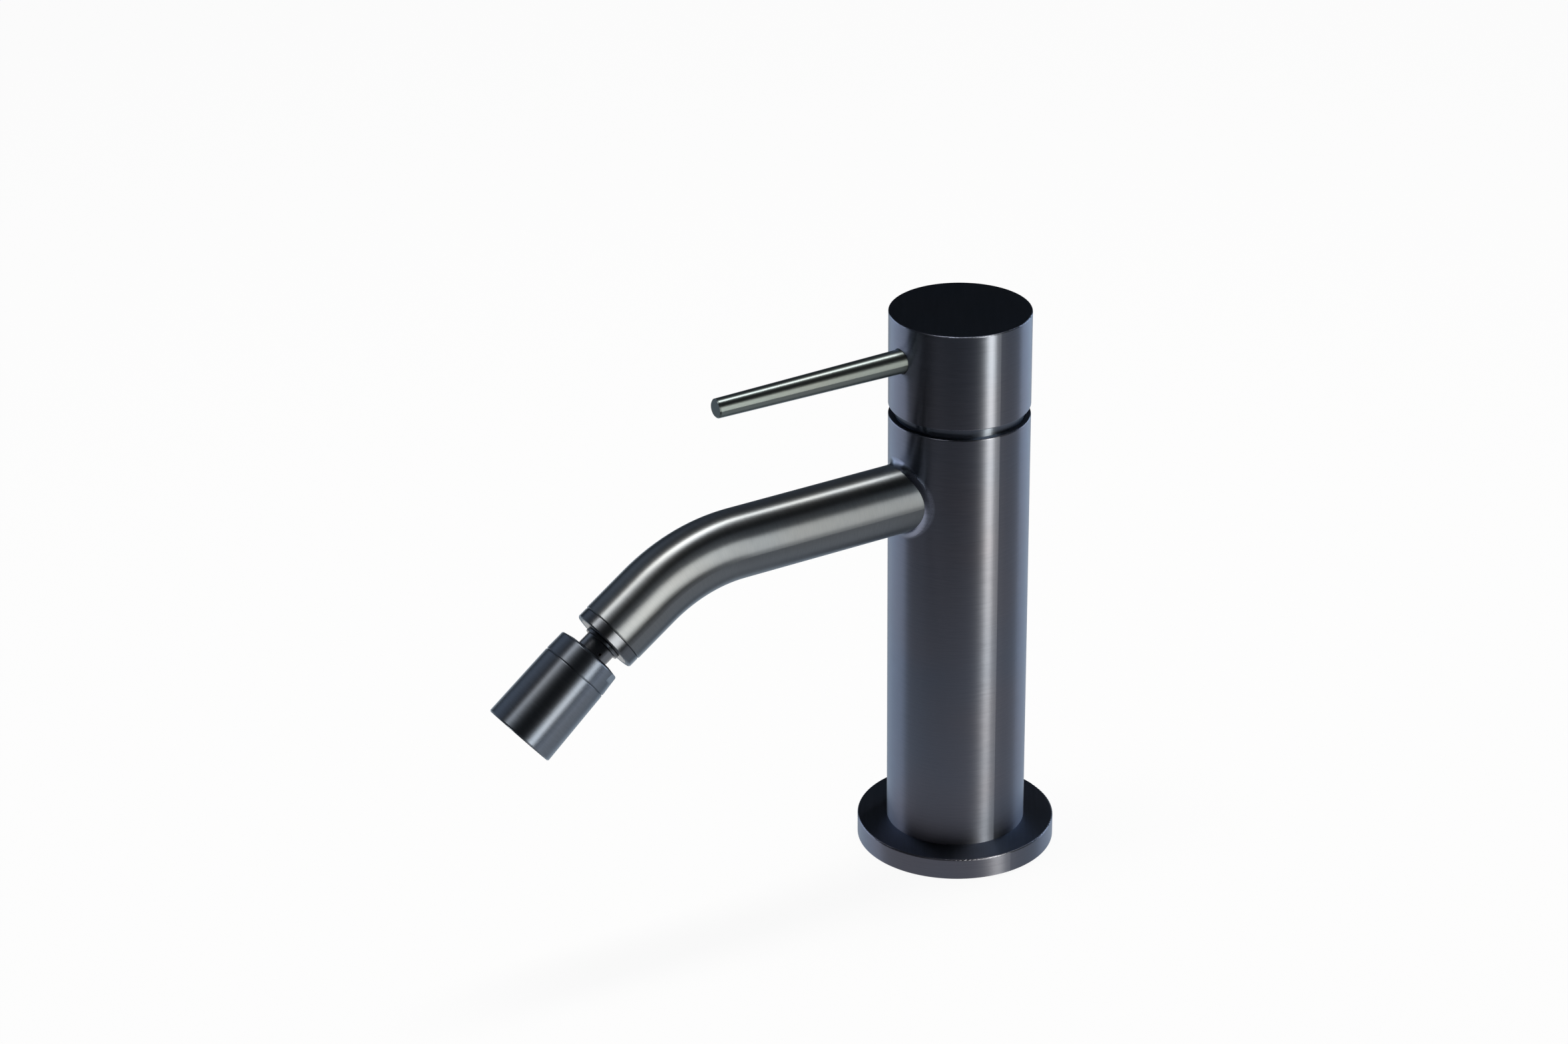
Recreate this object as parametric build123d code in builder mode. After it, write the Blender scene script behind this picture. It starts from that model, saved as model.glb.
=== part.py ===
from build123d import *
from math import atan2, cos, degrees, radians, sin, sqrt
import os

os.makedirs("parts", exist_ok=True)

# Lengths are in millimetres and angles in degrees. Z is height above the deck that the foot stands on,
# and the spout and the lever point along -Y.

# Column and foot
body_radius = 17.5
column_height = 112.0
edge_round = 0.3
flange_radius = 25.0
flange_height = 5.5
flange_round = 0.4
block_radius = 14.0
block_height = 20.0
block_fit = 0.05
foot_seal_height = 1.0
gasket_radius = 22.5
gasket_width = 2.5
gasket_height = 1.6
gasket_fit = 0.05

# Threaded holes in the foot
inlet_radius = 4.5
inlet_depth = 10.0
inlet_spread = 7.0
inlet_forward = 4.0
stud_radius = 3.4
stud_depth = 14.0
stud_back = 8.0

# Waterways in the column
supply_radius = 2.2
supply_spread = 6.2
supply_forward = 5.0
channel_radius = 2.8
outlet_back = 3.2
seat_floor = 1.6

# Cartridge, whose heights stack down from the column's top
roof_cover = 0.7
roof_height = 1.5
running_gap = 0.08
rotor_flange_height = 1.8
slide_gap = 0.2
driver_height = 3.2
disc_height = 2.2
water_film = 0.02
base_plate_height = 2.6
housing_radius = 12.5
housing_fit = 0.1
housing_wall = 1.3
housing_upper_radius = 11.0
shoulder_wall = 1.0
neck_radius = 9.5
neck_over_pin = 2.0
disc_fit = 0.1
peg_radius = 1.2
peg_length = 2.0
peg_fit = 0.05
peg_spread = 8.6
peg_back = 5.5
port_ring_width = 0.9
port_ring_height = 1.0
nut_thread_radius = 14.0
thread_gap = 0.05
nut_height = 4.2
nut_cover = 0.3
nut_slot_width = 3.0
nut_slot_depth = 1.2

# Ceramic discs
moving_disc_radius = 9.4
port_slot_width = 1.2
port_slot_length = 4.6
port_slot_spread = 4.6
port_slot_forward = 6.0
closing_land = 0.3
chamber_width = 13.0
chamber_back = 6.2
chamber_corner = 2.0
chamber_depth = 1.2
driver_radius = 8.0
driver_floor = 0.4

# Rotor, its pin and the stem that tilts on it
pivot_rise = 1.0
rotor_radius = 7.5
rotor_fit = 0.05
rotor_flange_radius = 9.6
rotor_flange_fit = 0.1
rotor_over_pin = 3.0
rotor_seal_drop = 3.0
rotor_seal_height = 1.4
rotor_seal_depth = 1.0
pin_radius = 1.5
pin_length = 14.0
pin_fit = 0.05
stem_width = 6.0
stem_side_gap = 0.1
stem_swing_gap = 2.0
stem_lift = 1.4
stem_end_gap = 0.1
tang_radius = 1.6
tang_length = 5.0
tang_web = 2.6
tang_gap = 0.15
tang_clearance = 0.1
tongue_spread = 5.5
tongue_width = 1.4
tongue_length = 10.0
tongue_height = 0.9
tongue_gap = 0.1

# Handle cap and the collar under it
cap_gap = 2.5
cap_height = 24.5
cap_roof = 3.0
cap_wall = 3.0
cap_skirt_wall = 0.8
cap_skirt_depth = 8.0
hub_height = 12.5
hub_roof = 2.4
hub_fit = 0.05
dome_gap = 0.3
dome_rise = 3.5
dome_wall = 1.4
dome_floor = 1.2
dome_fit = 0.05

# Lever pin
lever_drop = 9.6
lever_reach = 69.3
lever_root_radius = 3.0
lever_tip_radius = 2.41
lever_tip_edge = 0.3
lever_hole_gap = 0.2
lever_shank_radius = 2.45
grub_length = 3.4
grub_gap = 0.3
hex_across = 2.5
hex_depth = 1.6

# Spout tube
tube_radius = 8.6
tube_wall = 1.2
root_wall = 1.4
braze_gap = 0.05
braze_fillet = 1.8
spout_straight = 64.4
bend_radius = 42.3
tube_edge = 0.25
spout_turn = 34.75
tube_tail = 12.4

# End ring, plug and ball
ring_radius = 8.5
ring_wall = 1.3
ring_length = 2.9
ring_edge = 0.25
plug_length = 10.0
plug_fit = 0.05
plug_bore = 2.9
plug_seal_width = 1.5
plug_seal_depth = 0.95
plug_seal_rise = 1.5
shank_radius = 3.9
shank_length = 7.0
shank_gap = 0.2
collar_radius = 4.9
collar_height = 1.0
collar_edge = 0.15
neck_stem_radius = 4.15
ball_radius = 6.5
ball_drop = 9.15
ball_bore = 2.0
cross_hole_radius = 0.35
cross_hole_drop = 3.2
cross_hole_turn = 16.5

# Nozzle, measured along its own axis from the ball's centre
nozzle_droop = 4.64
ball_gap = 0.05
lip_rise = 5.1
lip_radius = 5.55
lip_land = 0.15
rim_drop = 0.5
rim_radius = 8.34
rim_edge = 0.25
seam_radius = 8.66
seam_edge = 0.25
nut_length = 5.4
nut_tail_radius = 7.9
nut_tail_wall = 0.6
nut_tail_length = 3.55
nut_relief = 0.4
flat_depth = 0.35
flat_length = 2.3
flat_turn = -36.0
cup_wall = 0.75
cup_inner_angle = 30.0
cup_outer_angle = 62.0
backing_outer_angle = 58.0

# Sleeve and aerator
sleeve_length = 20.0
mouth_radius = 9.1
mouth_edge = 0.3
mouth_wall = 1.0
throat_radius = 4.0
aerator_depth = 8.0
aerator_fit = 0.1
aerator_wall = 1.1
aerator_lip = 0.5
aerator_recess = 0.6
aerator_gasket_width = 2.5
aerator_gasket_height = 1.2
grid_height = 1.2
grid_hole_radius = 0.7
grid_pitch = 1.9
grid_rings = 3
grid_ring_holes = 6
regulator_height = 2.5
regulator_hole_radius = 1.0
regulator_hole_circle = 4.0
regulator_holes = 6

overrun = 1.0

# Heights of the column, the cartridge and the cap
body_bottom = flange_height
body_top = body_bottom + column_height
cap_bottom = body_top + cap_gap
cap_top = cap_bottom + cap_height
roof_top = body_top - roof_cover
roof_under = roof_top - roof_height
rotor_flange_top = roof_under - running_gap
rotor_bottom = rotor_flange_top - rotor_flange_height
driver_top = rotor_bottom - slide_gap
moving_top = driver_top - driver_height
moving_bottom = moving_top - disc_height
fixed_top = moving_bottom - water_film
fixed_bottom = fixed_top - disc_height
seat_height = fixed_bottom - base_plate_height
spout_height = seat_height - seat_floor - channel_radius
nut_top = body_top - nut_cover
nut_seat = nut_top - nut_height
cavity_step = nut_seat - shoulder_wall
pivot_height = cap_bottom + pivot_rise
neck_top = pivot_height + neck_over_pin
rotor_top = pivot_height + rotor_over_pin
tang_height = moving_top + driver_floor + tang_clearance + tang_radius
stem_bottom = rotor_bottom + stem_lift
foot_seal_top = block_height + foot_seal_height

# Radii that follow from the fits
bore_radius = housing_radius + housing_fit
tube_root = bore_radius + root_wall
tube_bore = tube_radius - tube_wall
disc_bore = housing_radius - housing_wall
rotor_bore = rotor_radius + rotor_fit
dome_radius = body_radius - cap_skirt_wall - dome_gap
dome_end_radius = sqrt(dome_radius**2 - (pivot_height - body_top) ** 2)
dome_top = pivot_height + dome_rise
dome_top_radius = sqrt(dome_radius**2 - dome_rise**2)
hub_top = cap_top - cap_roof
hub_bottom = hub_top - hub_height
hub_radius = body_radius - cap_wall - hub_fit
stem_top = hub_top - hub_roof - stem_end_gap
lever_height = cap_top - lever_drop

# Directions of the lever, the spout's end and the nozzle
sideways = Axis.X.direction
level = -Axis.Y.direction
end_direction = level.rotate(Axis.X, spout_turn)
end_normal = end_direction.rotate(Axis.X, -90)
nozzle_direction = level.rotate(Axis.X, spout_turn + nozzle_droop)
nozzle_normal = nozzle_direction.rotate(Axis.X, -90)
bend_out = spout_straight + bend_radius * sin(radians(spout_turn))
bend_drop = bend_radius * (1 - cos(radians(spout_turn)))
bend_end = Vector(0, -bend_out, spout_height - bend_drop)
tube_end = bend_end + end_direction * tube_tail
ring_end = tube_end + end_direction * ring_length
ball_centre = ring_end + end_direction * ball_drop


def turning_plane(origin, direction):
    """Plane for a turned outline: across is the radius and up runs along the direction."""
    return Plane(origin=origin, x_dir=sideways, z_dir=sideways.cross(direction))


def turned(points, plane):
    """Closed outline of straight lines in a turning plane."""
    with BuildSketch(plane, mode=Mode.PRIVATE) as outline:
        with BuildLine():
            Polyline(*points, close=True)
        make_face()
    return outline.sketch


def sector(plane, inner, outer, inner_angle, outer_angle):
    """Outline of a shell about the plane's origin, between two angles from its upward axis."""
    sweep_angle = outer_angle - inner_angle
    with BuildSketch(plane, mode=Mode.PRIVATE) as outline:
        with BuildLine():
            near = CenterArc((0, 0), inner, 90 - outer_angle, sweep_angle)
            far = CenterArc((0, 0), outer, 90 - outer_angle, sweep_angle)
            Line(near @ 0, far @ 0)
            Line(near @ 1, far @ 1)
        make_face()
    return outline.sketch


lever_plane = turning_plane((0, 0, lever_height), level)
end_plane = turning_plane(ring_end, end_direction)
ball_plane = turning_plane(ball_centre, nozzle_direction)
end_axis = Axis(ring_end, end_direction)
nozzle_axis = Axis(ball_centre, nozzle_direction)
lever_axis = Axis((0, 0, lever_height), level)
supply_places = [(-supply_spread, -supply_forward), (supply_spread, -supply_forward)]
inlet_places = [(-inlet_spread, -inlet_forward), (inlet_spread, -inlet_forward)]
peg_places = [(-peg_spread, peg_back), (peg_spread, peg_back)]
port_places = [(supply_places[0], supply_radius), (supply_places[1], supply_radius)]
port_places.append(((0, outlet_back), channel_radius))

# Column: turned bar with the spout's socket, the cartridge's bore and the drilled waterways
with BuildPart() as body:
    with BuildSketch(Plane.XY.offset(body_bottom)):
        Circle(body_radius)
    extrude(amount=column_height)
    fillet(body.faces().sort_by(Axis.Z)[-1].edges(), radius=edge_round)
    with BuildSketch(Plane(origin=(0, 0, spout_height), x_dir=sideways, z_dir=level)):
        Circle(tube_radius)
    extrude(amount=body_radius + braze_fillet)
    saddle = body.edges().filter_by(GeomType.CIRCLE, reverse=True).filter_by(GeomType.LINE, reverse=True)
    fillet(saddle, radius=braze_fillet)
    with BuildSketch(Plane(origin=(0, -tube_root, spout_height), x_dir=sideways, z_dir=level)):
        Circle(tube_radius + braze_gap)
    extrude(amount=body_radius + braze_fillet, mode=Mode.SUBTRACT)
    with BuildSketch(Plane.XY.offset(body_bottom)):
        Circle(block_radius + block_fit)
    extrude(amount=foot_seal_top - body_bottom, mode=Mode.SUBTRACT)
    with BuildSketch(Plane.XY.offset(foot_seal_top)):
        with Locations(*supply_places):
            Circle(supply_radius)
    extrude(amount=seat_height - foot_seal_top, mode=Mode.SUBTRACT)
    with BuildSketch(Plane.XY.offset(seat_height)):
        Circle(bore_radius)
    extrude(amount=body_top - seat_height, mode=Mode.SUBTRACT)
    with BuildSketch(Plane.XY.offset(nut_seat)):
        Circle(nut_thread_radius)
    extrude(amount=body_top - nut_seat, mode=Mode.SUBTRACT)
    with BuildSketch(Plane.XY.offset(seat_height)):
        with Locations(*peg_places):
            Circle(peg_radius + peg_fit)
    extrude(amount=-(peg_length + peg_fit), mode=Mode.SUBTRACT)
    with BuildSketch(Plane.XY.offset(spout_height)):
        with Locations((0, outlet_back)):
            Circle(channel_radius)
    extrude(amount=seat_height - spout_height, mode=Mode.SUBTRACT)
    with BuildSketch(Plane(origin=(0, outlet_back, spout_height), x_dir=sideways, z_dir=level)):
        Circle(channel_radius)
    extrude(amount=outlet_back + tube_root, mode=Mode.SUBTRACT)
body.part.label = "body"
export_step(body.part, "parts/body.step")

# Foot ring that the column clamps to the deck, with a groove for its gasket
with BuildPart() as base_flange:
    with BuildSketch():
        Circle(flange_radius)
        Circle(block_radius + block_fit, mode=Mode.SUBTRACT)
    extrude(amount=flange_height)
    with BuildSketch():
        Circle(gasket_radius + gasket_fit)
        Circle(gasket_radius - gasket_width - gasket_fit, mode=Mode.SUBTRACT)
    extrude(amount=gasket_height, mode=Mode.SUBTRACT)
    fillet(base_flange.edges().group_by(Axis.Z)[-1].sort_by(SortBy.RADIUS)[-1], radius=flange_round)
base_flange.part.label = "base_flange"
export_step(base_flange.part, "parts/base_flange.step")

with BuildPart() as flange_gasket:
    with BuildSketch():
        Circle(gasket_radius)
        Circle(gasket_radius - gasket_width, mode=Mode.SUBTRACT)
    extrude(amount=gasket_height)
flange_gasket.part.label = "flange_gasket"
export_step(flange_gasket.part, "parts/flange_gasket.step")

# Threaded foot inside the column, with both inlets and the stud's hole
with BuildPart() as base_block:
    with BuildSketch():
        Circle(block_radius)
    extrude(amount=block_height)
    with BuildSketch():
        with Locations(*inlet_places):
            Circle(inlet_radius)
    extrude(amount=inlet_depth, mode=Mode.SUBTRACT)
    with BuildSketch(Plane.XY.offset(inlet_depth)):
        with Locations(*supply_places):
            Circle(supply_radius)
    extrude(amount=block_height - inlet_depth, mode=Mode.SUBTRACT)
    with BuildSketch():
        with Locations((0, stud_back)):
            Circle(stud_radius)
    extrude(amount=stud_depth, mode=Mode.SUBTRACT)
base_block.part.label = "base_block"
export_step(base_block.part, "parts/base_block.step")

with BuildPart() as foot_seal:
    with BuildSketch(Plane.XY.offset(block_height)):
        Circle(block_radius)
        with Locations(*supply_places):
            Circle(supply_radius, mode=Mode.SUBTRACT)
    extrude(amount=foot_seal_height)
foot_seal.part.label = "foot_seal"
export_step(foot_seal.part, "parts/foot_seal.step")

# Spout tube: level out of the column, one bend, then straight down towards the nozzle
with BuildPart() as spout_tube:
    with BuildLine(Plane.YZ) as spout_path:
        level_run = Line((-tube_root, spout_height), (-spout_straight, spout_height))
        bend = JernArc(level_run @ 1, level_run % 1, bend_radius, spout_turn)
        Line(bend @ 1, (bend @ 1) + (bend % 1) * tube_tail)
    with BuildSketch(Plane(origin=(0, -tube_root, spout_height), x_dir=sideways, z_dir=level)):
        Circle(tube_radius)
        Circle(tube_bore, mode=Mode.SUBTRACT)
    sweep(path=spout_path.line)
    chamfer(spout_tube.faces().sort_by(Axis.Y)[0].outer_wire().edges(), length=tube_edge)
spout_tube.part.label = "spout_tube"
export_step(spout_tube.part, "parts/spout_tube.step")

# End ring on the tube
ring_bore = ring_radius - ring_wall
ring_outline = [
    (ring_bore, 0),
    (ring_radius - ring_edge, 0),
    (ring_radius, -ring_edge),
    (ring_radius, -ring_length + ring_edge),
    (ring_radius - ring_edge, -ring_length),
    (ring_bore, -ring_length),
]
with BuildPart() as spout_ring:
    revolve(turned(ring_outline, end_plane), axis=end_axis)
spout_ring.part.label = "spout_ring"
export_step(spout_ring.part, "parts/spout_ring.step")

# Plug that closes the tube and holds the ball's shank
plug_radius = ring_bore - plug_fit
plug_top = -plug_length
plug_thread = shank_radius + thread_gap
plug_groove_low = plug_top + plug_seal_rise
plug_groove_high = plug_groove_low + plug_seal_width
plug_groove_radius = plug_radius - plug_seal_depth
plug_outline = [
    (plug_thread, 0),
    (plug_radius, 0),
    (plug_radius, plug_groove_high),
    (plug_groove_radius, plug_groove_high),
    (plug_groove_radius, plug_groove_low),
    (plug_radius, plug_groove_low),
    (plug_radius, plug_top),
    (plug_bore, plug_top),
    (plug_bore, -shank_length - shank_gap),
    (plug_thread, -shank_length - shank_gap),
]
with BuildPart() as ball_adapter:
    revolve(turned(plug_outline, end_plane), axis=end_axis)
ball_adapter.part.label = "ball_adapter"
export_step(ball_adapter.part, "parts/ball_adapter.step")

adapter_seal_outline = [
    (plug_groove_radius, plug_groove_low),
    (tube_bore, plug_groove_low),
    (tube_bore, plug_groove_high),
    (plug_groove_radius, plug_groove_high),
]
with BuildPart() as adapter_seal:
    revolve(turned(adapter_seal_outline, end_plane), axis=end_axis)
adapter_seal.part.label = "adapter_seal"
export_step(adapter_seal.part, "parts/adapter_seal.step")

# Ball stem: shank, collar, neck with its cross hole, and the ball, all drilled through
shank_outline = [
    (0, -shank_length),
    (shank_radius, -shank_length),
    (shank_radius, 0),
    (collar_radius - collar_edge, 0),
    (collar_radius, collar_edge),
    (collar_radius, collar_height - collar_edge),
    (collar_radius - collar_edge, collar_height),
    (neck_stem_radius, collar_height),
    (neck_stem_radius, ball_drop),
    (0, ball_drop),
]
cross_direction = end_normal * sin(radians(cross_hole_turn)) + sideways * cos(radians(cross_hole_turn))
cross_centre = ring_end + end_direction * cross_hole_drop
stem_start = ring_end - end_direction * (shank_length + overrun)
with BuildPart() as ball_stem:
    revolve(turned(shank_outline, end_plane), axis=end_axis)
    with Locations(Plane(ball_centre, x_dir=sideways, z_dir=end_direction)):
        Sphere(ball_radius)
    with BuildSketch(Plane(stem_start, x_dir=sideways, z_dir=end_direction)):
        Circle(ball_bore)
    extrude(amount=shank_length + ball_drop + ball_radius + overrun * 2, mode=Mode.SUBTRACT)
    with BuildSketch(Plane(cross_centre, x_dir=end_direction, z_dir=cross_direction)):
        Circle(cross_hole_radius)
    extrude(amount=neck_stem_radius + overrun, both=True, mode=Mode.SUBTRACT)
ball_stem.part.label = "ball_stem"
export_step(ball_stem.part, "parts/ball_stem.step")

# Cartridge: seals, base plate, fixed disc, housing and the nut that clamps them
with BuildPart() as port_seals:
    for place, radius in port_places:
        with BuildSketch(Plane.XY.offset(seat_height)):
            with Locations(place):
                Circle(radius + port_ring_width)
                Circle(radius, mode=Mode.SUBTRACT)
        extrude(amount=port_ring_height)
port_seals.part.label = "port_seals"
export_step(port_seals.part, "parts/port_seals.step")

with BuildPart() as cartridge_base:
    with BuildSketch(Plane.XY.offset(seat_height)):
        Circle(housing_radius)
    extrude(amount=base_plate_height)
    with BuildSketch(Plane.XY.offset(seat_height - peg_length)):
        with Locations(*peg_places):
            Circle(peg_radius)
    extrude(amount=peg_length)
    for place, radius in port_places:
        with BuildSketch(Plane.XY.offset(seat_height)):
            with Locations(place):
                Circle(radius)
        extrude(amount=base_plate_height, mode=Mode.SUBTRACT)
        with BuildSketch(Plane.XY.offset(seat_height)):
            with Locations(place):
                Circle(radius + port_ring_width)
        extrude(amount=port_ring_height, mode=Mode.SUBTRACT)
cartridge_base.part.label = "cartridge_base"
export_step(cartridge_base.part, "parts/cartridge_base.step")

with BuildPart() as fixed_disc:
    with BuildSketch(Plane.XY.offset(fixed_bottom)):
        Circle(disc_bore - disc_fit)
        with Locations((-port_slot_spread, -port_slot_forward), (port_slot_spread, -port_slot_forward)):
            SlotOverall(port_slot_length, port_slot_width, mode=Mode.SUBTRACT)
        with Locations((0, outlet_back)):
            Circle(channel_radius, mode=Mode.SUBTRACT)
    extrude(amount=disc_height)
fixed_disc.part.label = "fixed_disc"
export_step(fixed_disc.part, "parts/fixed_disc.step")

rotor_cavity = rotor_flange_radius + rotor_flange_fit
housing_outline = [
    (disc_bore, fixed_bottom),
    (housing_radius, fixed_bottom),
    (housing_radius, nut_seat),
    (housing_upper_radius, nut_seat),
    (housing_upper_radius, roof_top),
    (neck_radius, roof_top),
    (neck_radius, neck_top),
    (rotor_bore, neck_top),
    (rotor_bore, roof_under),
    (rotor_cavity, roof_under),
    (rotor_cavity, cavity_step),
    (disc_bore, cavity_step),
]
with BuildPart() as cartridge_housing:
    revolve(turned(housing_outline, Plane.XZ), axis=Axis.Z)
cartridge_housing.part.label = "cartridge_housing"
export_step(cartridge_housing.part, "parts/cartridge_housing.step")

with BuildPart() as retaining_nut:
    with BuildSketch(Plane.XY.offset(nut_seat)):
        Circle(nut_thread_radius - thread_gap)
        Circle(housing_upper_radius + thread_gap, mode=Mode.SUBTRACT)
    extrude(amount=nut_height)
    with BuildSketch(Plane.XY.offset(nut_top)):
        Rectangle(nut_thread_radius * 2, nut_slot_width)
        Rectangle(nut_slot_width, nut_thread_radius * 2)
    extrude(amount=-nut_slot_depth, mode=Mode.SUBTRACT)
retaining_nut.part.label = "retaining_nut"
export_step(retaining_nut.part, "parts/retaining_nut.step")

# Collar in the gap: a ring of a sphere about the pivot, so the cap clears it evenly at every tilt
with BuildPart() as collar_dome:
    with BuildSketch(Plane.XZ):
        with BuildLine():
            Polyline(
                (dome_top_radius, dome_top),
                (dome_top_radius - dome_wall, dome_top),
                (dome_top_radius - dome_wall, body_top + dome_floor),
                (neck_radius + dome_fit, body_top + dome_floor),
                (neck_radius + dome_fit, body_top),
                (dome_end_radius, body_top),
            )
            ThreePointArc(
                (dome_end_radius, body_top), (dome_radius, pivot_height), (dome_top_radius, dome_top)
            )
        make_face()
    revolve(axis=Axis.Z)
collar_dome.part.label = "collar_dome"
export_step(collar_dome.part, "parts/collar_dome.step")

# Moving disc with its mixing chamber, and the driver that slides it
chamber_front = port_slot_forward - port_slot_width / 2 - closing_land
chamber_length = chamber_front + chamber_back
with BuildPart() as moving_disc:
    with BuildSketch(Plane.XY.offset(moving_bottom)):
        Circle(moving_disc_radius)
    extrude(amount=disc_height)
    with BuildSketch(Plane.XY.offset(moving_bottom)):
        with Locations((0, (chamber_back - chamber_front) / 2)):
            RectangleRounded(chamber_width, chamber_length, chamber_corner)
    extrude(amount=chamber_depth, mode=Mode.SUBTRACT)
moving_disc.part.label = "moving_disc"
export_step(moving_disc.part, "parts/moving_disc.step")

tongue_places = [(-tongue_spread, 0), (tongue_spread, 0)]
with BuildPart() as disc_driver:
    with BuildSketch(Plane.XY.offset(moving_top)):
        Circle(driver_radius)
    extrude(amount=driver_height)
    with BuildSketch(Plane.XY.offset(moving_top + driver_floor)):
        Rectangle(tang_length + tang_gap * 2, (tang_radius + tang_gap) * 2)
    extrude(amount=driver_height - driver_floor, mode=Mode.SUBTRACT)
    with BuildSketch(Plane.XY.offset(driver_top)):
        with Locations(*tongue_places):
            Rectangle(tongue_width + tongue_gap * 2, driver_radius * 2)
    extrude(amount=-tongue_height, mode=Mode.SUBTRACT)
disc_driver.part.label = "disc_driver"
export_step(disc_driver.part, "parts/disc_driver.step")

# Rotor: turns in the housing's neck and carries the pin; its tongues guide the driver
seal_low = pivot_height - rotor_seal_drop - rotor_seal_height / 2
seal_high = seal_low + rotor_seal_height
seal_inner = rotor_radius - rotor_seal_depth
rotor_outline = [
    (0, rotor_bottom),
    (rotor_flange_radius, rotor_bottom),
    (rotor_flange_radius, rotor_flange_top),
    (rotor_radius, rotor_flange_top),
    (rotor_radius, seal_low),
    (seal_inner, seal_low),
    (seal_inner, seal_high),
    (rotor_radius, seal_high),
    (rotor_radius, rotor_top),
    (0, rotor_top),
]
with BuildPart() as rotor:
    revolve(turned(rotor_outline, Plane.XZ), axis=Axis.Z)
    with BuildSketch(Plane.XY.offset(rotor_bottom)):
        with Locations(*tongue_places):
            Rectangle(tongue_width, tongue_length)
    extrude(amount=-tongue_height)
    with BuildSketch(Plane.XY.offset(rotor_bottom - tongue_height)):
        Rectangle(stem_width + stem_side_gap * 2, stem_width + stem_swing_gap * 2)
    extrude(amount=rotor_top - rotor_bottom + tongue_height, mode=Mode.SUBTRACT)
    with BuildSketch(Plane.YZ):
        with Locations((0, pivot_height)):
            Circle(pin_radius)
    extrude(amount=rotor_radius, both=True, mode=Mode.SUBTRACT)
rotor.part.label = "rotor"
export_step(rotor.part, "parts/rotor.step")

with BuildPart() as rotor_seal:
    with BuildSketch(Plane.XY.offset(seal_low)):
        Circle(rotor_radius)
        Circle(seal_inner, mode=Mode.SUBTRACT)
    extrude(amount=rotor_seal_height)
rotor_seal.part.label = "rotor_seal"
export_step(rotor_seal.part, "parts/rotor_seal.step")

with BuildPart() as pivot_pin:
    with BuildSketch(Plane.YZ):
        with Locations((0, pivot_height)):
            Circle(pin_radius)
    extrude(amount=pin_length / 2, both=True)
pivot_pin.part.label = "pivot_pin"
export_step(pivot_pin.part, "parts/pivot_pin.step")

# Stem: square where the hub grips it, with a round tang in the driver's pocket
with BuildPart() as lever_stem:
    with BuildSketch(Plane.XY.offset(stem_bottom)):
        Rectangle(stem_width, stem_width)
    extrude(amount=stem_top - stem_bottom)
    with BuildSketch(Plane.XY.offset(tang_height)):
        Rectangle(tang_length, tang_web)
    extrude(amount=stem_bottom - tang_height)
    with BuildSketch(Plane.YZ):
        with Locations((0, tang_height)):
            Circle(tang_radius)
    extrude(amount=tang_length / 2, both=True)
    with BuildSketch(Plane.YZ):
        with Locations((0, pivot_height)):
            Circle(pin_radius + pin_fit)
    extrude(amount=stem_width, both=True, mode=Mode.SUBTRACT)
lever_stem.part.label = "lever_stem"
export_step(lever_stem.part, "parts/lever_stem.step")

# Handle cap, turned thin at its skirt to clear the collar
cap_bore = body_radius - cap_wall
skirt_bore = body_radius - cap_skirt_wall
skirt_top = cap_bottom + cap_skirt_depth
cap_outline = [
    (skirt_bore, cap_bottom),
    (body_radius, cap_bottom),
    (body_radius, cap_top),
    (0, cap_top),
    (0, hub_top),
    (cap_bore, hub_top),
    (cap_bore, skirt_top),
    (skirt_bore, skirt_top),
]
with BuildPart() as handle_cap:
    revolve(turned(cap_outline, Plane.XZ), axis=Axis.Z)
    fillet(handle_cap.edges().filter_by(GeomType.CIRCLE).group_by(SortBy.RADIUS)[-1], radius=edge_round)
    with BuildSketch(Plane(origin=(0, 0, lever_height), x_dir=sideways, z_dir=level)):
        Circle(lever_root_radius + lever_hole_gap)
    extrude(amount=body_radius + overrun, mode=Mode.SUBTRACT)
handle_cap.part.label = "handle_cap"
export_step(handle_cap.part, "parts/handle_cap.step")

# Hub pressed into the cap, with the stem's square socket and the lever's threaded hole
with BuildPart() as cap_hub:
    with BuildSketch(Plane.XY.offset(hub_bottom)):
        Circle(hub_radius)
    extrude(amount=hub_height)
    with BuildSketch(Plane.XY.offset(hub_bottom)):
        Rectangle(stem_width + hub_fit * 2, stem_width + hub_fit * 2)
    extrude(amount=hub_height - hub_roof, mode=Mode.SUBTRACT)
    with BuildSketch(Plane(origin=(0, 0, lever_height), x_dir=sideways, z_dir=level)):
        Circle(lever_shank_radius + thread_gap)
    extrude(amount=hub_radius + overrun, mode=Mode.SUBTRACT)
cap_hub.part.label = "cap_hub"
export_step(cap_hub.part, "parts/cap_hub.step")

# Lever pin: shank in the hub, then a taper to a slightly chamfered tip
grub_start = stem_width / 2 + hub_fit
grub_end = grub_start + grub_length
lever_outline = [
    (0, grub_end + grub_gap),
    (lever_shank_radius, grub_end + grub_gap),
    (lever_shank_radius, hub_radius),
    (lever_root_radius, hub_radius),
    (lever_root_radius, body_radius),
    (lever_tip_radius, lever_reach - lever_tip_edge),
    (lever_tip_radius - lever_tip_edge, lever_reach),
    (0, lever_reach),
]
with BuildPart() as lever:
    revolve(turned(lever_outline, lever_plane), axis=lever_axis)
lever.part.label = "lever"
export_step(lever.part, "parts/lever.step")

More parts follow.
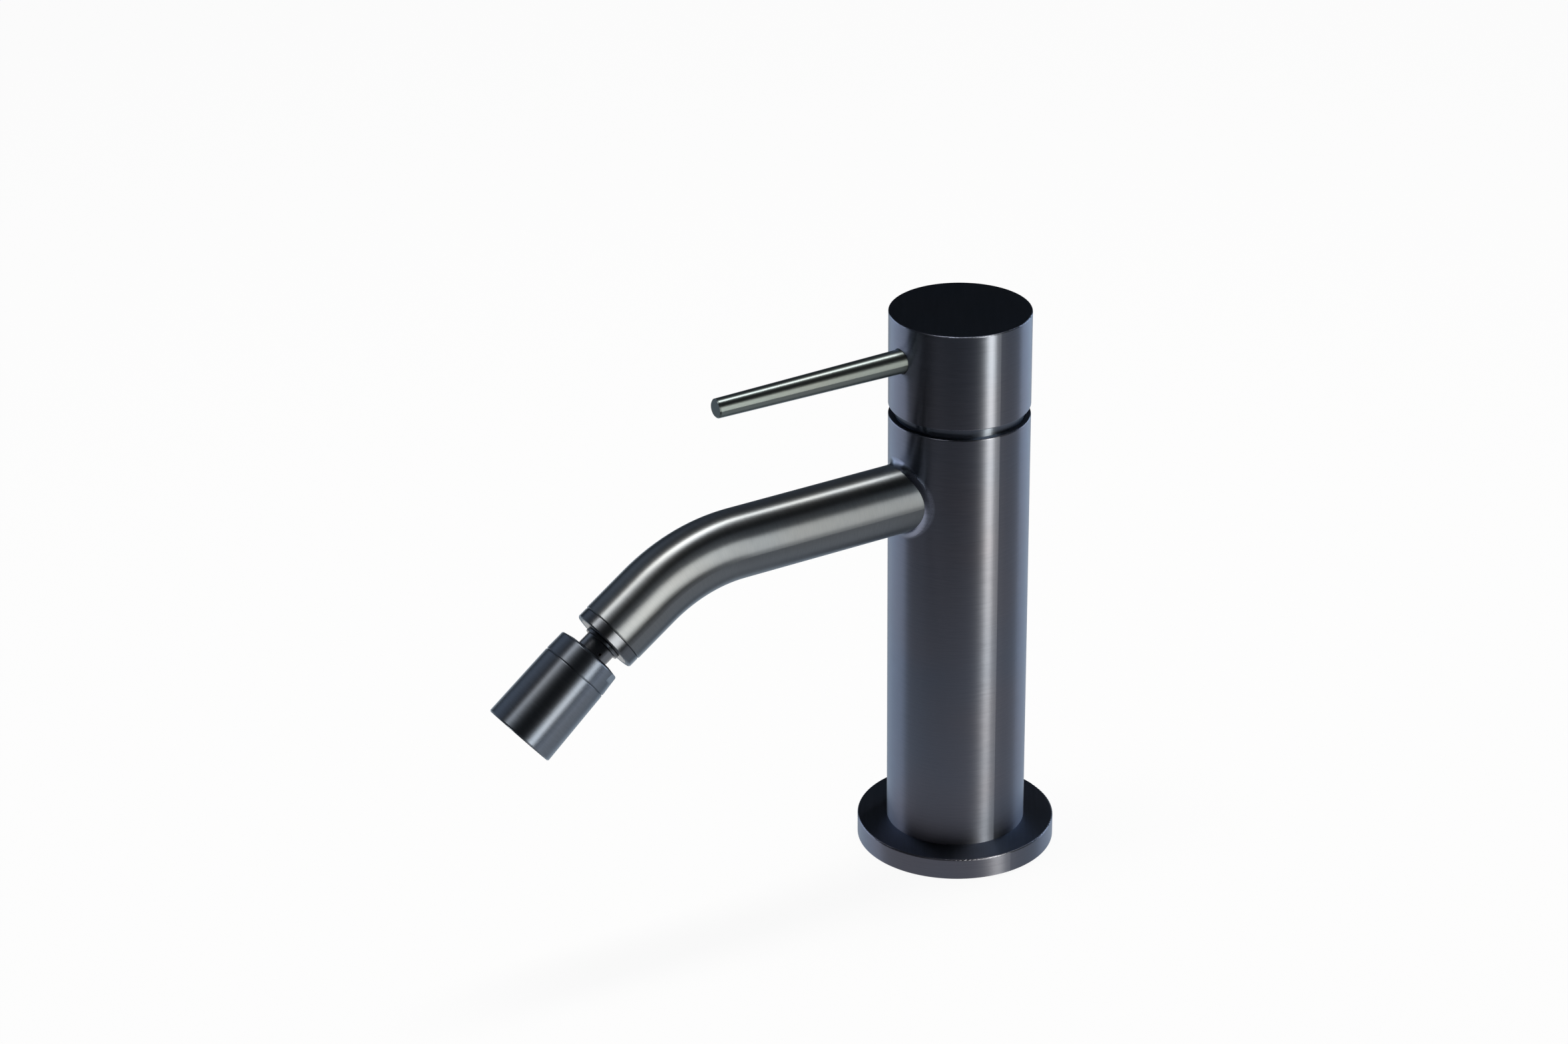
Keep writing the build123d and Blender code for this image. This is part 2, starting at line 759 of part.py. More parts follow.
with BuildPart() as grub_screw:
    with BuildSketch(Plane(origin=(0, -grub_start, lever_height), x_dir=sideways, z_dir=level)):
        Circle(lever_shank_radius)
    extrude(amount=grub_length)
    with BuildSketch(Plane(origin=(0, -grub_end, lever_height), x_dir=sideways, z_dir=level)):
        RegularPolygon(hex_across / 2, side_count=6, major_radius=False)
    extrude(amount=-hex_depth, mode=Mode.SUBTRACT)
grub_screw.part.label = "grub_screw"
export_step(grub_screw.part, "parts/grub_screw.step")

# Two spherical seats under the ball, one inside the other
cup_inner = ball_radius + ball_gap
cup_outer = cup_inner + cup_wall
backing_inner = cup_outer + ball_gap
backing_outer = backing_inner + cup_wall
with BuildPart() as ball_cup:
    revolve(sector(ball_plane, cup_inner, cup_outer, cup_inner_angle, cup_outer_angle), axis=nozzle_axis)
ball_cup.part.label = "ball_cup"
export_step(ball_cup.part, "parts/ball_cup.step")

backing_outline = sector(ball_plane, backing_inner, backing_outer, cup_inner_angle, backing_outer_angle)
with BuildPart() as cup_backing:
    revolve(backing_outline, axis=nozzle_axis)
cup_backing.part.label = "cup_backing"
export_step(cup_backing.part, "parts/cup_backing.step")

# Nozzle nut: dark sloping top, spherical seat over the ball, spanner flats and a threaded tail
lip_height = -lip_rise
rim_height = lip_height + rim_drop
seam_height = rim_height + nut_length
tail_end = seam_height + nut_tail_length
tail_bore = nut_tail_radius - nut_tail_wall
lip_seat_height = -sqrt(cup_inner**2 - lip_radius**2)
lip_seat_angle = degrees(atan2(lip_seat_height, lip_radius))
flat_offset = rim_radius - flat_depth
flat_direction = sideways * cos(radians(flat_turn)) + nozzle_normal * sin(radians(flat_turn))
flat_floor = ball_centre + nozzle_direction * (rim_height + flat_length)
with BuildPart() as nozzle_nut:
    with BuildSketch(ball_plane):
        with BuildLine():
            Polyline(
                (cup_inner, 0),
                (cup_inner, nut_relief),
                (tail_bore, nut_relief + tail_bore - cup_inner),
                (tail_bore, tail_end),
                (nut_tail_radius, tail_end),
                (nut_tail_radius, seam_height),
                (seam_radius - seam_edge, seam_height),
                (seam_radius, seam_height - seam_edge),
                (rim_radius, rim_height + rim_edge),
                (rim_radius - rim_edge, rim_height),
                (lip_radius + lip_land, lip_height),
                (lip_radius, lip_height),
                (lip_radius, lip_seat_height),
            )
            CenterArc((0, 0), cup_inner, 0, lip_seat_angle)
        make_face()
    revolve(axis=nozzle_axis)
    with BuildSketch(Plane(flat_floor, x_dir=flat_direction, z_dir=-nozzle_direction)):
        with Locations((flat_offset + seam_radius / 2, 0), (-flat_offset - seam_radius / 2, 0)):
            Rectangle(seam_radius, seam_radius * 2)
    extrude(amount=flat_length + rim_drop + overrun, mode=Mode.SUBTRACT)
nozzle_nut.part.label = "nozzle_nut"
export_step(nozzle_nut.part, "parts/nozzle_nut.step")

# Nozzle sleeve: tapered tube with a spherical bowl for the seats and a cavity for the aerator
mouth_height = seam_height + sleeve_length
cavity_top = mouth_height - aerator_depth
cavity_radius = mouth_radius - mouth_wall
sleeve_thread = nut_tail_radius + thread_gap
bowl_radius = backing_outer + ball_gap
bowl_top = tail_end + thread_gap
bowl_top_radius = sqrt(bowl_radius**2 - bowl_top**2)
bowl_bottom = sqrt(bowl_radius**2 - throat_radius**2)
bowl_start_angle = degrees(atan2(bowl_top, bowl_top_radius))
bowl_end_angle = degrees(atan2(bowl_bottom, throat_radius))
with BuildPart() as nozzle_sleeve:
    with BuildSketch(ball_plane):
        with BuildLine():
            Polyline(
                (bowl_top_radius, bowl_top),
                (sleeve_thread, bowl_top),
                (sleeve_thread, seam_height),
                (seam_radius - seam_edge, seam_height),
                (seam_radius, seam_height + seam_edge),
                (mouth_radius, mouth_height - mouth_edge),
                (mouth_radius - mouth_edge, mouth_height),
                (cavity_radius, mouth_height),
                (cavity_radius, cavity_top),
                (throat_radius, cavity_top),
                (throat_radius, bowl_bottom),
            )
            CenterArc((0, 0), bowl_radius, bowl_start_angle, bowl_end_angle - bowl_start_angle)
        make_face()
    revolve(axis=nozzle_axis)
nozzle_sleeve.part.label = "nozzle_sleeve"
export_step(nozzle_sleeve.part, "parts/nozzle_sleeve.step")

# Aerator in the mouth: gasket, flow regulator, holed grid and their housing
aerator_radius = cavity_radius - aerator_fit
aerator_bore = aerator_radius - aerator_wall
aerator_top = cavity_top + aerator_gasket_height
aerator_face = mouth_height - aerator_recess
gasket_outline = [
    (aerator_radius - aerator_gasket_width, cavity_top),
    (aerator_radius, cavity_top),
    (aerator_radius, aerator_top),
    (aerator_radius - aerator_gasket_width, aerator_top),
]
with BuildPart() as aerator_gasket:
    revolve(turned(gasket_outline, ball_plane), axis=nozzle_axis)
aerator_gasket.part.label = "aerator_gasket"
export_step(aerator_gasket.part, "parts/aerator_gasket.step")

grid_face = aerator_face - aerator_lip
aerator_outline = [
    (aerator_bore, aerator_top),
    (aerator_radius, aerator_top),
    (aerator_radius, aerator_face),
    (aerator_bore - aerator_lip, aerator_face),
    (aerator_bore - aerator_lip, grid_face),
    (aerator_bore, grid_face),
]
with BuildPart() as aerator_housing:
    revolve(turned(aerator_outline, ball_plane), axis=nozzle_axis)
aerator_housing.part.label = "aerator_housing"
export_step(aerator_housing.part, "parts/aerator_housing.step")

grid_origin = ball_centre + nozzle_direction * (grid_face - grid_height)
with BuildPart() as aerator_grid:
    with BuildSketch(Plane(grid_origin, x_dir=sideways, z_dir=nozzle_direction)):
        Circle(aerator_bore)
        Circle(grid_hole_radius, mode=Mode.SUBTRACT)
        for ring in range(1, grid_rings + 1):
            with PolarLocations(ring * grid_pitch, ring * grid_ring_holes):
                Circle(grid_hole_radius, mode=Mode.SUBTRACT)
    extrude(amount=grid_height)
aerator_grid.part.label = "aerator_grid"
export_step(aerator_grid.part, "parts/aerator_grid.step")

regulator_origin = ball_centre + nozzle_direction * aerator_top
with BuildPart() as flow_regulator:
    with BuildSketch(Plane(regulator_origin, x_dir=sideways, z_dir=nozzle_direction)):
        Circle(aerator_bore - aerator_fit)
        with PolarLocations(regulator_hole_circle, regulator_holes):
            Circle(regulator_hole_radius, mode=Mode.SUBTRACT)
    extrude(amount=regulator_height)
flow_regulator.part.label = "flow_regulator"
export_step(flow_regulator.part, "parts/flow_regulator.step")

tang_arm = pivot_height - tang_height
print("ball centre", ball_centre, "nozzle axis", nozzle_direction, "pivot height", pivot_height)
print("disc travel per radian of lift", tang_arm, "lowest seat", seat_height, "spout axis", spout_height)
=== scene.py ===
import bmesh
import bpy
from math import cos, pi, radians, sin
from mathutils import Matrix, Vector

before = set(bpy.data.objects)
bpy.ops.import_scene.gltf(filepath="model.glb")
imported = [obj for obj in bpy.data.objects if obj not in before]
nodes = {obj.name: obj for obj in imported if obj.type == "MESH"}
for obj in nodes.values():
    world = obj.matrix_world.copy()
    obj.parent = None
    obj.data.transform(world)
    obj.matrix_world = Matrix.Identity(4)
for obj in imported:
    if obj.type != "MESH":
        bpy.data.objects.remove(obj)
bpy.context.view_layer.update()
mm = 0.001


# Node helpers

def addNode(tree, kind, **settings):
    node = tree.nodes.new(kind)
    for key, value in settings.items():
        setattr(node, key, value)
    return node


def fill(tree, node, values):
    for slot, value in values.items():
        if isinstance(value, bpy.types.NodeSocket):
            tree.links.new(value, node.inputs[slot])
        else:
            node.inputs[slot].default_value = value
    return node


def mathNode(tree, operation, *values):
    node = addNode(tree, "ShaderNodeMath", operation=operation)
    fill(tree, node, dict(enumerate(values)))
    return node.outputs[0]


def vectorNode(tree, operation, *values, result="Vector"):
    node = addNode(tree, "ShaderNodeVectorMath", operation=operation)
    fill(tree, node, dict(enumerate(values)))
    return node.outputs[result]


def scaled(tree, vector, factor):
    node = addNode(tree, "ShaderNodeVectorMath", operation="SCALE")
    fill(tree, node, {0: vector, "Scale": factor})
    return node.outputs["Vector"]


def noise(tree, vector, scale=1.0, detail=2.0, roughness=0.5):
    node = addNode(tree, "ShaderNodeTexNoise")
    fill(tree, node, {"Vector": vector, "Scale": scale, "Detail": detail, "Roughness": roughness})
    return node.outputs["Fac"]


def remap(tree, value, low, high, newLow=0.0, newHigh=1.0):
    node = addNode(tree, "ShaderNodeMapRange", clamp=True)
    fill(tree, node, {0: value, 1: low, 2: high, 3: newLow, 4: newHigh})
    return node.outputs[0]


def mixColor(tree, factor, first, second):
    node = addNode(tree, "ShaderNodeMix", data_type="RGBA")
    fill(tree, node, {0: factor, 6: (*first, 1), 7: (*second, 1)})
    return node.outputs[2]


def mixVector(tree, factor, first, second):
    node = addNode(tree, "ShaderNodeMix", data_type="VECTOR")
    fill(tree, node, {0: factor, 4: first, 5: second})
    return node.outputs[1]


def startMaterial(name):
    material = bpy.data.materials.new(name)
    material.use_nodes = True
    tree = material.node_tree
    return material, tree, tree.nodes["Principled BSDF"]


def dress(names, material):
    for name in names:
        mesh = nodes[name].data
        mesh.materials.clear()
        mesh.materials.append(material)


# Each brushed piece is turned about an axis: the run gives the distance along it, the offset
# from it and its direction

spoutRun = {
    "height": 98.6 * mm,
    "bendStart": 64.4 * mm,
    "bendRadius": 42.3 * mm,
    "bendAngle": radians(34.75),
}
nozzleRest = {
    "ball": Vector((0, -108.6, 77.1192)) * mm,
    "slope": radians(34.75 + 4.64),  # it hangs a little steeper than the spout's end
}
leverHeight = 134.9 * mm


def straightRun(tree, point, start, axis):
    offset = vectorNode(tree, "SUBTRACT", point, tuple(start))
    along = vectorNode(tree, "DOT_PRODUCT", offset, tuple(axis), result="Value")
    across = vectorNode(tree, "SUBTRACT", offset, scaled(tree, tuple(axis), along))
    return along, across, tuple(axis)


def uprightRun(tree, point):
    return straightRun(tree, point, (0, 0, 0), (0, 0, 1))


def leverRun(tree, point):
    return straightRun(tree, point, (0, 0, leverHeight), (0, -1, 0))


def nozzleRun(tree, point):
    slope = nozzleRest["slope"]
    return straightRun(tree, point, nozzleRest["ball"], (0, -cos(slope), -sin(slope)))


def bentRun(tree, point):  # level at first, round the bend, then straight again
    radius = spoutRun["bendRadius"]
    bendHeight = spoutRun["height"] - radius
    parts = addNode(tree, "ShaderNodeSeparateXYZ")
    fill(tree, parts, {0: point})
    back = mathNode(tree, "ADD", parts.outputs[1], spoutRun["bendStart"])
    up = mathNode(tree, "SUBTRACT", parts.outputs[2], bendHeight)
    turn = mathNode(tree, "ARCTAN2", mathNode(tree, "MULTIPLY", back, -1.0), up)
    turn = mathNode(tree, "MINIMUM", mathNode(tree, "MAXIMUM", turn, 0.0), spoutRun["bendAngle"])
    fall = mathNode(tree, "MULTIPLY", mathNode(tree, "SINE", turn), -1.0)
    cosine = mathNode(tree, "COSINE", turn)
    axis = addNode(tree, "ShaderNodeCombineXYZ")
    fill(tree, axis, {1: mathNode(tree, "MULTIPLY", cosine, -1.0), 2: fall})
    outward = addNode(tree, "ShaderNodeCombineXYZ")
    fill(tree, outward, {1: fall, 2: cosine})
    bendCentre = (0.0, -spoutRun["bendStart"], bendHeight)
    nearest = vectorNode(tree, "ADD", bendCentre, scaled(tree, outward.outputs[0], radius))
    offset = vectorNode(tree, "SUBTRACT", point, nearest)
    further = vectorNode(tree, "DOT_PRODUCT", offset, axis.outputs[0], result="Value")
    along = mathNode(tree, "ADD", further, mathNode(tree, "MULTIPLY", turn, radius))
    across = vectorNode(tree, "SUBTRACT", offset, scaled(tree, axis.outputs[0], further))
    return along, across, axis.outputs[0]


# The braze round the spout's root is smoother on its +X side, where its colour is also
# lightened into a painted highlight

brazeGlossAndHighlightLook = {
    "reach": (9.8 * mm, 10.6 * mm),  # from the spout's line, where the braze fades out
    "front": (0.0, 5 * mm),
    "highlightSide": (-1 * mm, 6 * mm),
    "smoother": 0.6,
    "paintedHighlightGain": 2.2,
}


def brazeGlossAndPaintedHighlight(tree, point):  # 1 on the braze's smoother +X side, which also gets a painted highlight, and 0 elsewhere
    offset = vectorNode(tree, "SUBTRACT", point, (0, 0, spoutRun["height"]))
    flatOffset = vectorNode(tree, "MULTIPLY", offset, (1, 0, 1))
    ring = vectorNode(tree, "LENGTH", flatOffset, result="Value")
    front = vectorNode(tree, "DOT_PRODUCT", point, (0, -1, 0), result="Value")
    right = vectorNode(tree, "DOT_PRODUCT", point, (1, 0, 0), result="Value")
    near = remap(tree, ring, *brazeGlossAndHighlightLook["reach"], 1.0, 0.0)
    highlightSpan = mathNode(tree, "MULTIPLY", near, remap(tree, right, *brazeGlossAndHighlightLook["highlightSide"]))
    return mathNode(tree, "MULTIPLY", highlightSpan, remap(tree, front, *brazeGlossAndHighlightLook["front"]))


# Brushed metal: the brush goes round the sides of a piece and straight over its flat faces,
# and the gloss spreads across the brush lines

brushedLook = {
    "streakPerTurn": 3.0,  # how often a streak starts anew round the piece
    "streakLength": 60.0,  # the same per metre on a flat face
    "linesPerMetre": 4200.0,
    "bandsPerMetre": 1500.0,
    "fineRoughness": 0.6,
    "fineShare": 0.6,  # of the lines in the grain, the rest is bands
    "grainSpan": (0.3, 0.7),  # the part of the noise's range that counts
    "cloudsPerMetre": 28.0,
    "cloudSpan": (0.35, 0.65),
    "flatFrom": (0.75, 0.95),  # how squarely a face looks along the axis before it counts as flat
    "flatBrush": (1, 0, 0),
    "shade": (0.91, 1.09),
    "roughness": (0.36, 0.42),
    "bump": 0.08,
    "bumpDepth": 0.02 * mm,
    "anisotropy": 0.92,
    "edgeTint": (0.80, 0.90, 1.0, 1),
    "smootherAndPaintedHighlight": None,  # where the piece is smoother and its colour is lightened into a painted highlight
}


def brushedMetal(name, pieces, run, cool, warm, **changes):
    look = {**brushedLook, **changes}
    material, tree, shader = startMaterial(name)
    place = addNode(tree, "ShaderNodeTexCoord").outputs
    point, normal = place["Object"], place["Normal"]
    along, across, axis = run(tree, point)
    spoke = vectorNode(tree, "NORMALIZE", across)
    hoop = vectorNode(tree, "CROSS_PRODUCT", axis, spoke)
    squareness = vectorNode(tree, "DOT_PRODUCT", normal, axis, result="Value")
    isFlat = remap(tree, mathNode(tree, "ABSOLUTE", squareness), *look["flatFrom"])

    def brushed(perMetre):  # where a brush line is looked up: slow along the line, quick across it
        curved = vectorNode(tree, "ADD", scaled(tree, spoke, look["streakPerTurn"]),
                            scaled(tree, axis, mathNode(tree, "MULTIPLY", along, perMetre)))
        cross = vectorNode(tree, "CROSS_PRODUCT", axis, look["flatBrush"])
        sideways = vectorNode(tree, "DOT_PRODUCT", point, cross, result="Value")
        straight = vectorNode(tree, "ADD", scaled(tree, point, look["streakLength"]),
                              scaled(tree, cross, mathNode(tree, "MULTIPLY", sideways, perMetre)))
        return mixVector(tree, isFlat, curved, straight)

    fine = noise(tree, brushed(look["linesPerMetre"]), roughness=look["fineRoughness"])
    broad = noise(tree, brushed(look["bandsPerMetre"]))
    grain = mathNode(tree, "ADD", mathNode(tree, "MULTIPLY", fine, look["fineShare"]),
                     mathNode(tree, "MULTIPLY", broad, 1 - look["fineShare"]))
    cloud = remap(tree, noise(tree, point, look["cloudsPerMetre"]), *look["cloudSpan"])
    tint = scaled(tree, mixColor(tree, cloud, cool, warm),
                  remap(tree, grain, *look["grainSpan"], *look["shade"]))
    rough = remap(tree, grain, *look["grainSpan"], *look["roughness"])
    if look["smootherAndPaintedHighlight"]:
        smootherAndPaintedHighlight = look["smootherAndPaintedHighlight"](tree, point)
        smoother = remap(tree, smootherAndPaintedHighlight, 0, 1, 1, brazeGlossAndHighlightLook["smoother"])
        rough = mathNode(tree, "MULTIPLY", rough, smoother)
        # painted highlight: the braze's colour is lightened on its +X side
        tint = scaled(tree, tint, remap(tree, smootherAndPaintedHighlight, 0, 1, 1, brazeGlossAndHighlightLook["paintedHighlightGain"]))
    bump = addNode(tree, "ShaderNodeBump")
    fill(tree, bump, {"Height": grain, "Strength": look["bump"], "Distance": look["bumpDepth"]})
    lines = mixVector(tree, isFlat, hoop, look["flatBrush"])
    turned = addNode(tree, "ShaderNodeVectorTransform", vector_type="VECTOR",
                     convert_from="OBJECT", convert_to="WORLD")
    fill(tree, turned, {0: vectorNode(tree, "CROSS_PRODUCT", normal, lines)})
    fill(tree, shader, {
        "Base Color": tint,
        "Metallic": 1.0,
        "Roughness": rough,
        "Anisotropic": look["anisotropy"],
        "Specular Tint": look["edgeTint"],
        "Tangent": turned.outputs[0],
        "Normal": bump.outputs[0],
    })
    dress(pieces, material)


capBrush = (0.83, -0.56, 0)  # how the brush lines lie on the upright pieces' flat faces
brushedMetals = {
    "columnMetal": {"pieces": ["body", "base_flange", "handle_cap"], "run": uprightRun,
                    "cool": (0.090, 0.104, 0.140), "warm": (0.102, 0.104, 0.130),
                    "flatBrush": capBrush, "smootherAndPaintedHighlight": brazeGlossAndPaintedHighlight},
    "spoutMetal": {"pieces": ["spout_tube"], "run": bentRun,
                   "cool": (0.118, 0.132, 0.150), "warm": (0.124, 0.130, 0.136),
                   "roughness": (0.43, 0.47), "anisotropy": 0.95},
    "ringMetal": {"pieces": ["spout_ring"], "run": bentRun,
                  "cool": (0.074, 0.083, 0.098), "warm": (0.080, 0.084, 0.094),
                  "roughness": (0.34, 0.38), "anisotropy": 0.88},
    "leverMetal": {"pieces": ["lever"], "run": leverRun,
                   "cool": (0.125, 0.150, 0.152), "warm": (0.133, 0.148, 0.146),
                   "roughness": (0.40, 0.45), "anisotropy": 0.89,
                   "shade": (0.96, 1.04), "bump": 0.04},
    "nozzleMetal": {"pieces": ["nozzle_nut", "nozzle_sleeve"], "run": nozzleRun,
                    "cool": (0.114, 0.136, 0.170), "warm": (0.123, 0.136, 0.159),
                    "roughness": (0.44, 0.48)},
    "collarMetal": {"pieces": ["collar_dome"], "run": uprightRun,
                    "cool": (0.10, 0.12, 0.16), "warm": (0.106, 0.12, 0.155),
                    "flatBrush": capBrush, "roughness": (0.31, 0.34), "anisotropy": 1.0},
}
for name, look in brushedMetals.items():
    brushedMetal(name, **look)
print("brushed metals done")


# Plain finishes for the ball and what is inside

plainFinishes = {
    "ballMetal": {"pieces": ["ball_stem", "ball_adapter"],
                  "dark": (0.095, 0.105, 0.12), "light": (0.15, 0.16, 0.18),
                  "metallic": 1.0, "roughness": 0.32, "grainsPerMetre": 1500},
    "rawBrass": {"pieces": ["base_block", "retaining_nut", "cap_hub"],
                 "dark": (0.45, 0.30, 0.12), "light": (0.62, 0.44, 0.20),
                 "metallic": 1.0, "roughness": 0.3, "grainsPerMetre": 700},
    "turnedSteel": {"pieces": ["lever_stem", "pivot_pin", "grub_screw", "cup_backing"],
                    "dark": (0.42, 0.42, 0.43), "light": (0.56, 0.56, 0.57),
                    "metallic": 1.0, "roughness": 0.3, "grainsPerMetre": 900},
    "acetal": {"pieces": ["cartridge_housing", "cartridge_base", "rotor", "disc_driver",
                          "ball_cup", "flow_regulator"],
               "dark": (0.62, 0.62, 0.60), "light": (0.72, 0.72, 0.70),
               "metallic": 0.0, "roughness": 0.45, "grainsPerMetre": 600},
    "alumina": {"pieces": ["fixed_disc", "moving_disc"],
                "dark": (0.70, 0.69, 0.66), "light": (0.78, 0.77, 0.74),
                "metallic": 0.0, "roughness": 0.2, "grainsPerMetre": 1200},
    "sealRubber": {"pieces": ["flange_gasket", "foot_seal", "adapter_seal", "port_seals",
                              "rotor_seal", "aerator_gasket"],
                   "dark": (0.012, 0.012, 0.012), "light": (0.022, 0.022, 0.022),
                   "metallic": 0.0, "roughness": 0.6, "grainsPerMetre": 1200},
    "aeratorPlastic": {"pieces": ["aerator_housing", "aerator_grid"],
                       "dark": (0.05, 0.05, 0.055), "light": (0.075, 0.075, 0.08),
                       "metallic": 0.0, "roughness": 0.4, "grainsPerMetre": 900},
}
plainGrain = {
    "detail": 4.0,
    "roughness": 0.6,
    "span": (0.3, 0.7),
    "spread": 0.15,  # how far the gloss strays either way
    "bump": 0.05,
    "bumpDepth": 0.02 * mm,
}


def plainFinish(name, pieces, dark, light, metallic, roughness, grainsPerMetre):
    material, tree, shader = startMaterial(name)
    point = addNode(tree, "ShaderNodeTexCoord").outputs["Object"]
    grain = noise(tree, point, grainsPerMetre, plainGrain["detail"], plainGrain["roughness"])
    bump = addNode(tree, "ShaderNodeBump")
    fill(tree, bump, {"Height": grain, "Strength": plainGrain["bump"],
                      "Distance": plainGrain["bumpDepth"]})
    smooth = roughness * (1 - plainGrain["spread"])
    matt = roughness * (1 + plainGrain["spread"])
    fill(tree, shader, {
        "Base Color": mixColor(tree, grain, dark, light),
        "Metallic": metallic,
        "Roughness": remap(tree, grain, *plainGrain["span"], smooth, matt),
        "Normal": bump.outputs[0],
    })
    dress(pieces, material)


for name, look in plainFinishes.items():
    plainFinish(name, **look)
print("plain finishes done")


# Floor and backdrop

def seenWhite(tree):  # 1 for the rays that should meet the white backdrop
    path = addNode(tree, "ShaderNodeLightPath").outputs
    seen = mathNode(tree, "MAXIMUM", path["Is Camera Ray"], path["Is Glossy Ray"])
    return mathNode(tree, "MAXIMUM", seen, path["Is Transmission Ray"])


def addStage(name, bm, material):
    mesh = bpy.data.meshes.new(name)
    bm.to_mesh(mesh)
    bm.free()
    mesh.materials.append(material)
    stage = bpy.data.objects.new(name, mesh)
    bpy.context.scene.collection.objects.link(stage)
    return stage


floorLook = {
    "halfSize": 3.0,
    "drop": 0.2 * mm,
    "color": (0.86, 0.86, 0.87, 1),
    "roughness": 0.9,
    "gloss": 0.1,
    "whiteShare": 0.93,  # the rest is lit paper, which keeps the shadow
}


def buildFloor():
    material, tree, shader = startMaterial("floorPaper")
    fill(tree, shader, {"Base Color": floorLook["color"], "Roughness": floorLook["roughness"],
                        "Specular IOR Level": floorLook["gloss"]})
    glow = addNode(tree, "ShaderNodeEmission")
    fill(tree, glow, {"Color": (1, 1, 1, 1), "Strength": 1.0})
    blend = addNode(tree, "ShaderNodeMixShader")
    share = mathNode(tree, "MULTIPLY", seenWhite(tree), floorLook["whiteShare"])
    fill(tree, blend, {0: share, 1: shader.outputs[0], 2: glow.outputs[0]})
    tree.links.new(blend.outputs[0], tree.nodes["Material Output"].inputs[0])
    bm = bmesh.new()
    lowered = Matrix.Translation((0, 0, -floorLook["drop"]))
    bmesh.ops.create_grid(bm, x_segments=1, y_segments=1, size=floorLook["halfSize"],
                          matrix=lowered)
    addStage("studioFloor", bm, material)


roomLook = {"fill": (0.95, 0.97, 1.0, 1), "fillLevel": 0.30}


def buildWorld():
    world = bpy.data.worlds.new("studio")
    world.use_nodes = True
    bpy.context.scene.world = world
    tree = world.node_tree
    tree.nodes.clear()
    plain = addNode(tree, "ShaderNodeBackground")
    fill(tree, plain, {"Color": roomLook["fill"], "Strength": roomLook["fillLevel"]})
    white = addNode(tree, "ShaderNodeBackground")
    fill(tree, white, {"Color": (1, 1, 1, 1), "Strength": 1.0})
    blend = addNode(tree, "ShaderNodeMixShader")
    fill(tree, blend, {0: seenWhite(tree), 1: plain.outputs[0], 2: white.outputs[0]})
    out = addNode(tree, "ShaderNodeOutputWorld")
    tree.links.new(blend.outputs[0], out.inputs[0])


# A black tent stands round the paper and shows in the gloss alone, so that the metal gets its
# dark tones

tentLook = {
    "openRadius": 0.65,  # of the hole in its floor, where the paper shows
    "radius": 1.5,
    "height": 1.5,
    "lift": 0.5 * mm,
    "centre": (-0.25, 0.43, 0),
    "steps": 64,
    "weld": 0.01 * mm,
    "color": (0.07, 0.072, 0.078, 1),
}


def buildTent():
    material, tree, shader = startMaterial("tentCloth")
    fill(tree, shader, {"Base Color": tentLook["color"], "Roughness": 1.0,
                        "Specular IOR Level": 0.0})
    bm = bmesh.new()
    radius, height, lift = tentLook["radius"], tentLook["height"], tentLook["lift"]
    outline = [(tentLook["openRadius"], lift), (radius, lift), (radius, height), (0, height)]
    points = [bm.verts.new((x, 0, z)) for x, z in outline]
    edges = [bm.edges.new(pair) for pair in zip(points, points[1:])]
    bmesh.ops.spin(bm, geom=points + edges, cent=(0, 0, 0), axis=(0, 0, 1), angle=2 * pi,
                   steps=tentLook["steps"], use_merge=True)
    bmesh.ops.remove_doubles(bm, verts=bm.verts, dist=tentLook["weld"])
    bmesh.ops.translate(bm, verts=bm.verts, vec=tentLook["centre"])
    tent = addStage("blackTent", bm, material)
    tent.visible_camera = False
    tent.visible_diffuse = False
    tent.visible_shadow = False


# Lamps, placed by direction from the point that they aim at, which is the mixer's middle unless
# a lamp has its own. Most light only some pieces, as if flags stood between them and the rest

